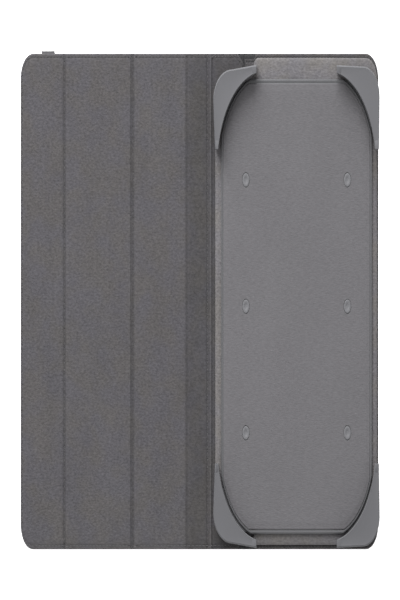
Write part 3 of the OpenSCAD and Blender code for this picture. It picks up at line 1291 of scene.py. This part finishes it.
@dataclass
class ClosingBand:
    """The ribbed elastic that lies in its channel outside the front cover and turns up round its top edge."""

    low: Vector
    high: Vector
    top_edge: float
    thickness: float = 0.44
    ribs: int = 9
    rib_height: float = 0.09
    bend_steps: int = 8

    def _path(self) -> list[Point2]:
        """Gives the middle of the band's thickness along the band.

        Returns:
            Pairs of Y and Z, from the slit at the bottom to the seam at the top.
        """
        mid = self.low.z + self.thickness / 2 + 0.02
        start = self.low.y + 1.9
        reach = self.high.y - self.top_edge - self.thickness / 2 - 0.05
        turn = 0.62
        bottom = [(start + 0.9, mid + 1.0), (start + 0.35, mid + 0.75), (start + 0.1, mid + 0.4),
                  (start + 0.3, mid + 0.1), (start + 0.8, mid)]
        length = self.top_edge + reach - turn - bottom[-1][0]
        straight = [(bottom[-1][0] + length * step / 60, mid) for step in range(1, 61)]
        up = arc((self.top_edge + reach - turn, mid + turn), turn, -90, 0, self.bend_steps)
        over = arc((self.top_edge + reach - turn, 1.72), turn * 0.55, 0, 90, self.bend_steps)
        over = [(y + turn * 0.45, z) for y, z in over]
        return bottom + straight + up[1:] + over + [(self.top_edge - 0.9, over[-1][1])]

    def _section(self) -> list[Point2]:
        """Gives the band's ribbed section, as pairs of place across it and height from its middle."""
        steps = self.ribs * 6
        width = self.high.x - self.low.x - 0.3
        left = self.low.x + 0.15
        half = self.thickness / 2
        face = [(step / steps, half - self.rib_height * (1 - abs(math.sin(math.pi * self.ribs * step / steps))))
                for step in range(steps + 1)]
        lower = [(left + width * share, -height) for share, height in face]
        upper = [(left + width * share, height) for share, height in reversed(face)]
        return lower + upper

    def build(self) -> None:
        """Sweeps the section along the path."""
        path = self._path()
        section = self._section()
        loops = []
        for index, (y, z) in enumerate(path):
            before, after = path[max(index - 1, 0)], path[min(index + 1, len(path) - 1)]
            slope = math.atan2(after[1] - before[1], after[0] - before[0])
            loops.append([Vector((x, y - height * math.sin(slope), z + height * math.cos(slope)))
                          for x, height in section])
        bm = bmesh.new()
        loft(bm, loops)
        ride(finish_mesh("closing_band", bm, BAND_ELASTIC), "front_outer", BAND_ELASTIC, "elastic_band")


# --- Tablet panel, carrier, pad and rivets ---


@dataclass
class RivetPlan:
    """Where the carrier's rivets stand, and their sizes."""

    centres: list[Point2]
    head_low: float
    head_high: float
    foot_low: float
    head_radius: float = 3.0
    shaft_radius: float = 1.5

    def bore(self, radius: float, low: float, high: float, flare: float = 0.0) -> bmesh.types.BMesh:
        """Makes a cutter with a hole at each rivet.

        Args:
            radius: The holes' radius.
            low: Where they start.
            high: Where they end.
            flare: How much wider they are at the end.

        Returns:
            The cutter.
        """
        bm = bmesh.new()
        for centre in self.centres:
            rings = [(radius, low), (radius, high - 2 * flare - 0.3), (radius + flare, high)]
            loft(bm, [[Vector((x, y, z)) for x, y in arc(centre, ring, 0, 360 - 360 / 40, 39)]
                      for ring, z in rings])
        return bm


@dataclass
class TabletPanel:
    """The suede-wrapped board that carries the tablet, with a neck sewn to the hinge strip."""

    low: Vector
    high: Vector
    board_low: float
    board_high: float
    rivets: RivetPlan
    neck_drop: float = 15.1
    neck_radius: float = 3.0
    shoulder: float = 45.5
    shoulder_radius: float = 4.0
    corner: float = 9.5
    inner: float = 0.6

    def _outline(self) -> Outline:
        """Gives the panel's plan: the neck, and the shoulders that hide under the grips' arms."""
        middle = (self.low.y + self.high.y) / 2
        half = (self.high.y - self.low.y) / 2
        neck = half - self.neck_drop
        radius = self.shoulder_radius
        upper = [*arc((self.high.x - self.corner, half - self.corner), self.corner, 0, 90),
                 *arc((self.shoulder + radius, half - radius), radius, 90, 180),
                 (self.shoulder, neck),
                 *arc((self.low.x + self.neck_radius, neck - self.neck_radius), self.neck_radius, 90, 180)]
        lower = [(x, -y) for x, y in reversed(upper)]
        return Outline([(x, y + middle) for x, y in upper + lower])

    def wrap(self) -> bpy.types.Object:
        """Makes the suede drawn over the board and turned down round its edges."""
        top = self.high.z
        rim = [(self.inner, self.board_high), (self.inner, self.board_low + 0.02),
               (0.06, self.board_low + 0.02),
               (0.0, self.board_low + 0.1), (0.0, top - 1.35), (0.06, top - 1.0), (0.2, top - 0.76),
               (0.45, top - 0.57), (0.8, top - 0.43), (1.3, top - 0.3), (1.9, top - 0.19), (2.6, top - 0.1),
               (3.0, top - 0.06)]
        # The panel's suede is drawn lighter: painted light on its raised top.
        wrap = stack("tablet_panel_suede", self._outline(), rim, PANEL_SUEDE_PAINTED_LIGHT)
        cutter = self.rivets.bore(self.rivets.shaft_radius + 0.05, self.board_high - 1.0, top + 1.0)
        return carve(wrap, cutter, PANEL_SUEDE_PAINTED_LIGHT)

    def backing(self) -> bpy.types.Object:
        """Makes the thin sheet glued under the board."""
        low, high = self.low.z, self.board_low
        rim = ((0.5, low), (0.3, low + 0.03), (0.24, low + 0.15), (0.3, high - 0.03), (0.5, high))
        return stack("tablet_panel_backing_sheet", self._outline(), rim, PANEL_SUEDE_PAINTED_LIGHT)

    def build(self) -> None:
        """Makes the wrap and the backing, and rides them on the tablet holder."""
        ride(self.wrap(), "tablet_holder", PANEL_SUEDE_PAINTED_LIGHT, "tablet_panel_lining")
        ride(self.backing(), "tablet_holder", PANEL_SUEDE_PAINTED_LIGHT, "tablet_panel_backing")


@dataclass
class Carrier:
    """The moulded plate under the tablet, its felt pad and its rivets."""

    tablet_low: Vector
    tablet_high: Vector
    plate_low: float
    plate_high: float
    pad_high: float
    rivets: RivetPlan
    lip_radius: float = 40.0
    tongue_top: float = 0.7
    plate_inset: float = 3.0
    plate_clear: float = 1.0
    pad_inset: float = 5.0
    pad_clear: float = 2.5
    rivet_sides: int = 32

    RING_CLEAR: ClassVar[float] = 0.2

    def _between_grips(self, clear: float, inset: float) -> Outline:
        """Gives a plan over the tablet's footprint that keeps clear of the grips' feet.

        Args:
            clear: Gap to the feet.
            inset: Gap to the footprint's edges.

        Returns:
            The plan.
        """
        radius = self.lip_radius - clear
        lean = math.degrees(math.acos((self.lip_radius - inset) / radius))
        low, high = self.tablet_low, self.tablet_high
        points: list[Point2] = []
        for x, y, start in ((low.x + self.lip_radius, low.y + self.lip_radius, 180),
                            (high.x - self.lip_radius, low.y + self.lip_radius, 270),
                            (high.x - self.lip_radius, high.y - self.lip_radius, 0),
                            (low.x + self.lip_radius, high.y - self.lip_radius, 90)):
            points += arc((x, y), radius, start + lean, start + 90 - lean, 18)
        return Outline(points)

    def _tongues(self, bm: bmesh.types.BMesh) -> None:
        """Adds the four thin tongues that the grips are moulded over."""
        low, high = self.tablet_low, self.tablet_high
        corner = [*arc((12, 12), 8, 180, 270), (26.0, 4.0), (26.0, 26.0), (4.0, 26.0)]
        for x, y, turn in ((low.x, low.y, 0), (high.x, low.y, 90), (high.x, high.y, 180), (low.x, high.y, 270)):
            spin = Matrix.Rotation(math.radians(turn), 2)
            points = [(x + (spin @ Vector(point)).x, y + (spin @ Vector(point)).y) for point in corner]
            outline = Outline(points)
            top = self.plate_low + self.tongue_top
            loft(bm, [outline.inset(inset, z) for inset, z in
                      ((0.0, self.plate_low), (0.0, top - 0.15), (0.15, top))])

    def plate(self) -> bpy.types.Object:
        """Makes the plate: a bevelled border, a shallow bed for the pad, and the tongues."""
        outline = self._between_grips(self.plate_clear, self.plate_inset)
        low, high = self.plate_low, self.plate_high
        bm = bmesh.new()
        loft(bm, [outline.inset(inset, z) for inset, z in
                  ((0.0, low), (0.0, high - 0.7), (0.12, high - 0.3), (0.4, high - 0.06), (0.7, high),
                   (1.35, high), (1.5, high - 0.12), (1.75, high - 0.12), (1.9, high))])
        self._tongues(bm)
        plate = finish_mesh("carrier_moulding", bm, CARRIER_PLASTIC)
        return carve(plate, self.rivets.bore(self.rivets.shaft_radius + 0.05, low - 1.0, high + 1.0),
                     CARRIER_PLASTIC)

    def pad(self) -> bpy.types.Object:
        """Makes the felt pad, pressed thin at its border and round each rivet."""
        low, high = self.plate_high, self.pad_high
        rim = ((0.06, low), (0.0, low + 0.06), (0.0, low + 0.2), (0.12, low + 0.31), (0.5, low + 0.34),
               (1.3, low + 0.34), (1.8, high - 0.1), (2.5, high - 0.02), (3.6, high))
        pad = stack("felt_pad", self._between_grips(self.pad_clear, self.pad_inset), rim, PAD_FELT)
        holes = self.rivets.bore(self.rivets.head_radius + self.RING_CLEAR, low - 1.0, high + 0.05, 0.12)
        return carve(pad, holes, PAD_FELT)

    def _rivet_tree(self) -> bpy.types.NodeTree:
        """Builds the tree that repeats one rivet over the carrier's columns and rows."""
        kit, given = new_tree("rivet_rows", {"Columns": "Int", "Rows": "Int", "Width": "Float",
                                             "Height": "Float", "Middle": "Vector", "Finish": "Material"})
        grid = kit.out("GeometryNodeMeshGrid", None,
                       {"Size X": given["Width"], "Size Y": given["Height"],
                        "Vertices X": given["Columns"], "Vertices Y": given["Rows"]})
        moved = kit.out("GeometryNodeTransform", None, {"Geometry": grid, "Translation": given["Middle"]})
        placed = kit.out("GeometryNodeInstanceOnPoints", None, {"Points": moved, "Instance": given["Geometry"]})
        real = kit.out("GeometryNodeRealizeInstances", None, {"Geometry": placed})
        dressed = kit.out("GeometryNodeSetMaterial", None, {"Geometry": real, "Material": given["Finish"]})
        kit.add("NodeGroupOutput", None, {"Geometry": dressed})
        return kit.tree

    def rivet_set(self) -> bpy.types.Object:
        """Makes the rivets: a foot in the board's pocket, a shaft, and a dished head on the plate."""
        plan = self.rivets
        head, shaft = plan.head_radius, plan.shaft_radius
        foot, low, high = plan.foot_low, plan.head_low, plan.head_high
        rings = [(head - 0.15, foot), (head, foot + 0.1), (head, foot + 0.6), (shaft, foot + 0.6),
                 (shaft, low), (head, low), (head, high - 0.18), (head - 0.12, high - 0.06),
                 (head - 0.4, high), (head * 0.48, high - 0.01), (head * 0.42, high - 0.12),
                 (head * 0.1, high - 0.15)]
        bm = bmesh.new()
        sides = self.rivet_sides
        loft(bm, [[Vector((x, y, z)) for x, y in arc((0, 0), ring, 0, 360 - 360 / sides, sides - 1)]
                  for ring, z in rings])
        host = finish_mesh("rivet", bm, RIVET_PLASTIC)
        xs = [centre[0] for centre in plan.centres]
        ys = [centre[1] for centre in plan.centres]
        middle = ((min(xs) + max(xs)) / 2 * MM, (min(ys) + max(ys)) / 2 * MM, 0.0)
        values = {"Columns": 2, "Rows": 3, "Width": (max(xs) - min(xs)) * MM,
                  "Height": (max(ys) - min(ys)) * MM, "Middle": middle, "Finish": RIVET_PLASTIC.material()}
        rivets = realise(host, "rivet_set", self._rivet_tree(), values)
        rivets.data.set_sharp_from_angle(angle=SHARP_ANGLE)
        return rivets

    def build(self) -> None:
        """Makes the plate, the pad and the rivets, and rides them on the tablet holder."""
        ride(self.plate(), "tablet_holder", CARRIER_PLASTIC, "carrier_plate")
        pad = self.pad()
        ride(pad, "tablet_holder", PAD_FELT, "carrier_pad")
        ride(self.rivet_set(), "tablet_holder", RIVET_PLASTIC, "carrier_rivets")


# --- Corner grips ---


class GripCorner(Enum):
    """The tablet's corners, with the body and node of each grip."""

    BOTTOM_LEFT = "grip_bottom_left"
    BOTTOM_RIGHT = "grip_bottom_right"
    TOP_LEFT = "grip_top_left"
    TOP_RIGHT = "grip_top_right"

    @property
    def right(self) -> bool:
        """Whether it is on the tablet's right."""
        return self.value.endswith("right")

    @property
    def upper(self) -> bool:
        """Whether it is at the tablet's top."""
        return "top" in self.value


@dataclass
class CornerGrip:
    """One soft grip: a foot under the tablet, a wall round its corner and a beaded lip over its face."""

    corner: GripCorner
    tablet_low: Vector
    tablet_high: Vector
    foot_low: float
    seat: float
    lip_low: float
    lip_high: float
    arm: float = 33.0
    end_rise: float = 2.9
    end_side: float = 2.8
    corner_side: float = 3.4
    corner_rise: float = 2.3
    corner_turn: float = 10.7
    inner_centre: float = 9.8
    inner_radius: float = 10.0
    clear: float = 0.2
    lip_radius: float = 40.0
    stub: float = 3.4
    dish: float = 0.1
    shoulder: float = 0.9
    bead: float = 0.75
    stations: int = 30
    wall_rows: int = 7

    LIP_THICKNESS: ClassVar[float] = 1.2
    OUTSIDE: ClassVar[tuple[float, float, float]] = (3.2, 2.8, 0)
    LEFT_SHAPE: ClassVar[dict[str, float]] = {"corner_side": 3.7, "corner_rise": 1.0, "corner_turn": 12.0,
                                              "end_side": 2.3, "end_rise": 3.0}

    @staticmethod
    def _meet(start: Vector, ray: Vector, centre: float, radii: Point2, end: Vector) -> Vector:
        """Finds where a ray meets an elliptical corner, or the straight that runs on from it along an arm.

        Args:
            start: Where the ray starts.
            ray: Its direction.
            centre: X and Y of the ellipse's centre.
            radii: Its radii along X and Y.
            end: Where the straight ends.

        Returns:
            The meeting point.
        """
        scaled_start = Vector(((start.x - centre) / radii[0], (start.y - centre) / radii[1]))
        scaled_ray = Vector((ray.x / radii[0], ray.y / radii[1]))
        square = scaled_ray.length_squared
        half = scaled_start.dot(scaled_ray)
        root = half * half - square * (scaled_start.length_squared - 1)
        met = start + ray * ((math.sqrt(max(root, 0.0)) - half) / square)
        if max(met.x, met.y) <= centre:
            return met
        if met.x > met.y:
            begin = Vector((centre, centre - radii[1]))
        else:
            begin = Vector((centre - radii[0], centre))
        along = end - begin
        offset = begin - start
        cross = ray.x * along.y - ray.y * along.x
        return start + ray * ((offset.x * along.y - offset.y * along.x) / cross)

    def _station(self, t: float) -> tuple[Vector, Vector, float, float]:
        """Sets out one section across the grip.

        Args:
            t: -1 at the end of the arm up the tablet's side, 0 at the corner, and 1 at the other arm's end.

        Returns:
            The outer edge's point, the inward direction, and the distances to the wall's inside and to
            the lip's edge.
        """
        lean = math.degrees(math.asin((self.lip_radius - self.arm) / self.lip_radius))
        lip_angle = math.radians(225 + t * (45 - lean))
        ray_angle = math.radians(225 + 45 * t)
        lip = Vector((self.lip_radius, self.lip_radius)) + self.lip_radius * Vector(
            (math.cos(lip_angle), math.sin(lip_angle)))
        ray = Vector((math.cos(ray_angle), math.sin(ray_angle)))
        turn = self.corner_turn
        outer_end = Vector((self.arm, -self.end_rise)) if t > 0 else Vector((-self.end_side, self.arm))
        inner_end = Vector((self.arm, -self.clear)) if t > 0 else Vector((-self.clear, self.arm))
        outer = self._meet(lip, ray, turn, (turn + self.corner_side, turn + self.corner_rise), outer_end)
        inner = self._meet(lip, ray, self.inner_centre, (self.inner_radius, self.inner_radius), inner_end)
        return outer, -ray, (inner - outer).length, (lip - outer).length

    def _section(self, wall: float, reach: float, dish: float) -> list[Point2]:
        """Gives the grip's section, as pairs of distance from the outer edge and height.

        Args:
            wall: Distance to the wall's inside.
            reach: Distance to the lip's edge.
            dish: How far the lip sinks between its shoulder and its bead.

        Returns:
            The section, counter-clockwise from the foot's outer corner.
        """
        low, seat, under, top = self.foot_low, self.seat, self.lip_low, self.lip_high
        shoulder, bead = self.shoulder, self.bead
        hollow = top - dish
        flat = reach - bead - shoulder
        rounded = [(shoulder + x, top - shoulder + z) for x, z in
                   arc((0, 0), shoulder, 90, 180, 6)]
        rows = self.wall_rows
        inside = [(wall, seat + 0.4 + (under - seat - 0.8) * row / rows) for row in range(rows + 1)]
        outside = [(0.0, top - shoulder - (top - shoulder - low - 0.3) * row / rows)
                   for row in range(1, rows + 1)]
        return [(0.25, low), (reach - 0.2, low), (reach, low + 0.2), (reach, seat - 0.2), (reach - 0.2, seat),
                (wall + 0.35, seat), (wall + 0.08, seat + 0.1), *inside,
                (wall + 0.08, under - 0.1), (wall + 0.35, under),
                (reach - 0.25, under), (reach - 0.05, under + 0.12), (reach, under + 0.45),
                (reach - 0.04, top - 0.3), (reach - 0.2, top - 0.08), (reach - 0.42, top),
                (reach - bead + 0.06, top - 0.05 - dish * 0.2), (reach - bead - 0.12, hollow),
                (shoulder + 0.18 + flat * 0.1, hollow), (shoulder + 0.04, top - dish * 0.35),
                (shoulder - 0.25, top - 0.012), *rounded[1:], *outside]

    def _ts(self) -> list[float]:
        """Gives the stations' places, closer together at the stubs' steps."""
        lean = math.degrees(math.asin((self.lip_radius - self.arm) / self.lip_radius))

        def place_at(x: float) -> float:
            """Gives the place of the station whose lip is x along the arm."""
            angle = 270 - math.degrees(math.asin((self.lip_radius - x) / self.lip_radius))
            return (angle - 225) / (45 - lean)

        step = self.arm - self.stub
        near_end = [place_at(x) for x in (step - 0.3, step - 0.05, step + 0.05, self.arm - 0.2)]
        first = near_end[0]
        half = [first * index / self.stations for index in range(self.stations)] + near_end + [1.0]
        return [-t for t in reversed(half[1:])] + half

    def build(self) -> None:
        """Lofts the grip at its corner, in place of its node."""
        ts = self._ts()
        step = ts.index(max(t for t in ts if t < 1.0)) - 2
        steady = abs(ts[step])
        corner_x = self.tablet_high.x if self.corner.right else self.tablet_low.x
        corner_y = self.tablet_high.y if self.corner.upper else self.tablet_low.y
        sign_x = -1 if self.corner.right else 1
        sign_y = -1 if self.corner.upper else 1
        loops = []
        for t in ts:
            outer, inward, wall, reach = self._station(t)
            section = self._section(wall, reach, self.dish if abs(t) <= steady + 1e-9 else 0.0)
            if abs(t) == 1.0:
                section = [(point.x, point.y) for point in Outline(section).inset(0.2, 0.0)]
            loops.append([Vector((corner_x + sign_x * (outer.x + inward.x * u),
                                  corner_y + sign_y * (outer.y + inward.y * u), z)) for u, z in section])
        bm = bmesh.new()
        loft(bm, loops)
        name = self.corner.value
        moulding = finish_mesh(f"{name}_moulding", bm, GRIP_RUBBER)
        self.seat * MM
        self.lip_low * MM
        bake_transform(moulding)
        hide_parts(name)
        log.info("%s peels with %s", moulding.name, name)


# --- Studio ---


@dataclass
class Studio:
    """The pale floor, the soft lights and the camera that looks straight down."""

    floor_half: float = 3.0
    camera_height: float = 1.5
    view_height: float = 0.60
    squeeze: Point2 = (0.85, 0.4257)
    sky: float = 1.1

    def floor(self) -> None:
        """Makes the floor that the case lies on."""
        bm = bmesh.new()
        bmesh.ops.create_grid(bm, x_segments=4, y_segments=4, size=self.floor_half)
        floor = finish_mesh("studio_floor", bm, FLOOR_PAINT)

    def camera(self) -> None:
        """Makes the camera, whose parent transform squeezes its view to the tall frame's proportions."""
        lens = bpy.data.cameras.new("studio_camera")
        lens.type = "ORTHO"
        lens.ortho_scale = self.view_height
        lens.clip_end = 10.0
        camera = bpy.data.objects.new("studio_camera", lens)
        stand = bpy.data.objects.new("camera_stand", None)
        for item in (stand, camera):
            bpy.context.scene.collection.objects.link(item)
        across, along = self.squeeze
        squeezed = Matrix(((across, 0, 0, 0), (0, along, 0, 0),
                           (math.sqrt(1 - across ** 2), math.sqrt(1 - along ** 2), 1, 0), (0, 0, 0, 1)))
        camera.parent = stand
        camera.matrix_parent_inverse = Matrix.Translation((0, 0, self.camera_height)) @ squeezed
        bpy.context.scene.camera = camera

    def _light(self, name: str, place_m: Sequence[float], size: Point2, watts: float) -> None:
        """Hangs one soft light that faces the case.

        Args:
            name: Its name.
            place_m: Where it hangs, in metres.
            size: Its width and height, in metres.
            watts: Its power.
        """
        lamp = bpy.data.lights.new(name, "AREA")
        lamp.shape = "RECTANGLE"
        lamp.size, lamp.size_y = size
        lamp.energy = watts
        light = bpy.data.objects.new(name, lamp)
        light.location = place_m
        light.rotation_euler = (-Vector(place_m)).to_track_quat("-Z", "Y").to_euler()
        bpy.context.scene.collection.objects.link(light)

    def build(self) -> None:
        """Sets up the floor, the lights, the surroundings and the camera."""
        self.floor()
        self.camera()
        self._light("key_light", (-0.45, 1.4, 1.0), (1.8, 1.1), 86.0)
        self._light("fill_light", (-0.5, 0.5, 1.4), (0.5, 0.5), 6.0)
        world = bpy.data.worlds.new("studio_air")
        world.use_nodes = True
        background = world.node_tree.nodes["Background"]
        background.inputs["Color"].default_value = (1.0, 1.0, 1.0, 1.0)
        background.inputs["Strength"].default_value = self.sky
        bpy.context.scene.world = world
        bpy.context.scene.view_settings.view_transform = "Standard"


# --- The case ---


def tablet_space(frame: CaseFrame) -> tuple[Vector, Vector]:
    """Gives the tablet's footprint, from the grips that stand at its corners.

    Args:
        frame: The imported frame.

    Returns:
        Its low and high corners, in millimetres.
    """
    outside = Vector(CornerGrip.OUTSIDE)
    low = frame.box(GripCorner.BOTTOM_LEFT.value)[0]
    high = frame.box(GripCorner.TOP_RIGHT.value)[1]
    return low + outside, high - outside


def dress_boards(nodes: dict) -> None:
    """Gives the boards inside the cover and the tablet panel their finish.

    Args:
        nodes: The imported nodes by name.
    """
    for name, node in nodes.items():
        if name.endswith("_board"):
            node.data.materials.clear()
            node.data.materials.append(BOOK_BOARD.material())
            log.info("%s keeps its packed shape", name)


def main() -> None:
    """Builds the studio and the case, piece by piece."""
    logging.basicConfig(level=logging.INFO, format="%(name)s: %(message)s")
    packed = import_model()
    frame = CaseFrame(packed)
    Studio().build()

    cover = Cover(frame)
    cover.build()
    band_low, band_high = frame.box("elastic_band")
    ClosingBand(band_low, band_high, cover.high.y).build()

    tablet_low, tablet_high = tablet_space(frame)
    rivet_low, rivet_high = frame.box("carrier_rivets")
    plate_low, plate_high = frame.box("carrier_plate")
    radius = RivetPlan.head_radius
    columns = (rivet_low.x + radius, rivet_high.x - radius)
    rows = (rivet_low.y + radius, (rivet_low.y + rivet_high.y) / 2, rivet_high.y - radius)
    rivets = RivetPlan([(x, y) for x in columns for y in rows], plate_high.z, rivet_high.z, rivet_low.z)
    board_low, board_high = frame.box("tablet_panel_board")
    panel_low, panel_high = frame.box("tablet_panel_lining")
    panel_low.z = frame.box("tablet_panel_backing")[0].z
    TabletPanel(panel_low, panel_high, board_low.z, board_high.z, rivets).build()
    pad_high = frame.box("carrier_pad")[1]
    Carrier(tablet_low, tablet_high, plate_low.z, plate_high.z, pad_high.z, rivets).build()

    for corner in GripCorner:
        low, high = frame.box(corner.value)
        shape = {} if corner.right else CornerGrip.LEFT_SHAPE
        CornerGrip(corner, tablet_low, tablet_high, low.z, pad_high.z,
                   high.z - CornerGrip.LIP_THICKNESS, high.z, **shape).build()

    dress_boards(packed["nodes"])


if __name__ == "__main__":
    main()
